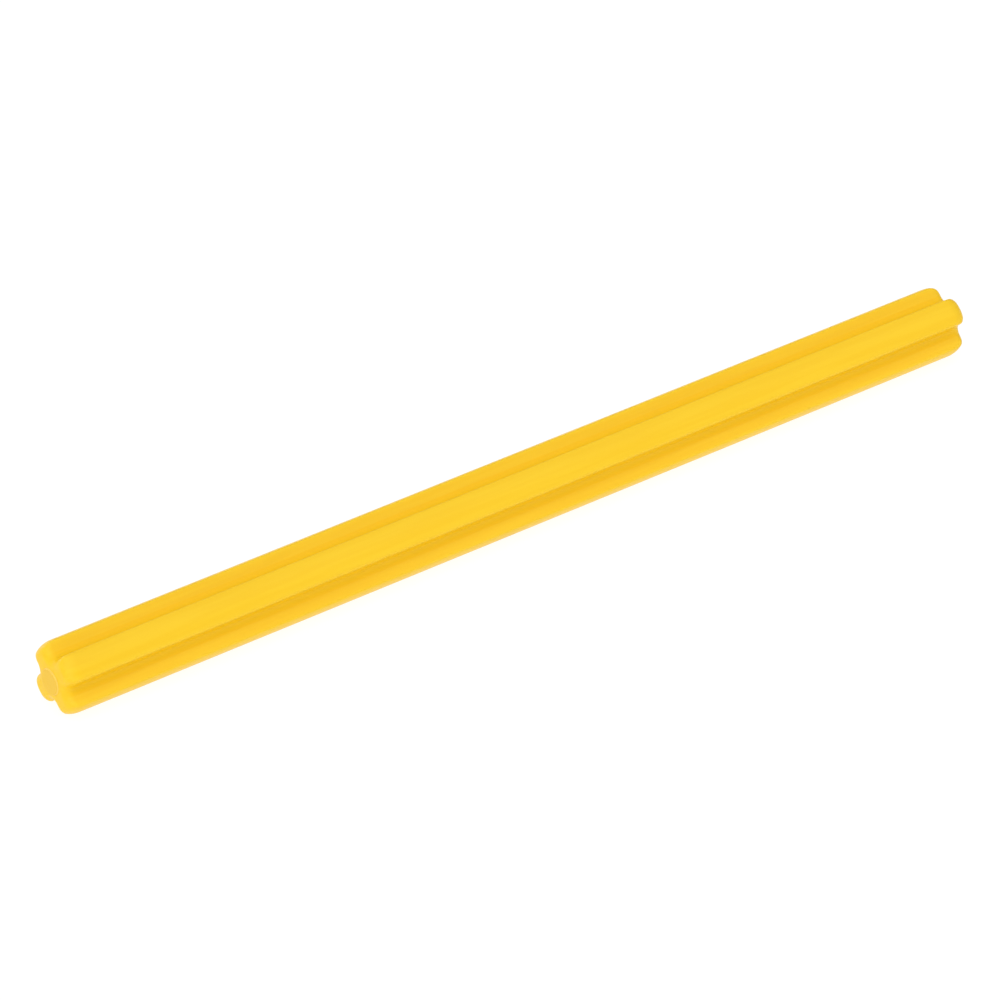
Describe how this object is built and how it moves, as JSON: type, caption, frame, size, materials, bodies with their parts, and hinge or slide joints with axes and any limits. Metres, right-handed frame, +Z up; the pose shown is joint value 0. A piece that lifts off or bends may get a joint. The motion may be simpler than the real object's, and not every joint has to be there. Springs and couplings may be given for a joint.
{
  "type": "cross axle",
  "caption": "Straight moulded plastic axle with a cross-shaped section, flat drive flanks, rounded ends and a low round disc in the middle of each end.",
  "frame": {"origin": "the middle of the axle, on its axis", "axes": "X along the axle; +Z up, with the four arms pointing halfway between Y and Z, as the axle lies on a table on two of its arms"},
  "size_m": [0.0718, 0.0044, 0.0044],
  "materials": {
    "yellow_plastic": "solid bright yellow moulded plastic, smooth with a soft shine"
  },
  "bodies": {
    "root": {"cross_axle": "yellow_plastic"}
  },
  "joints": []
}
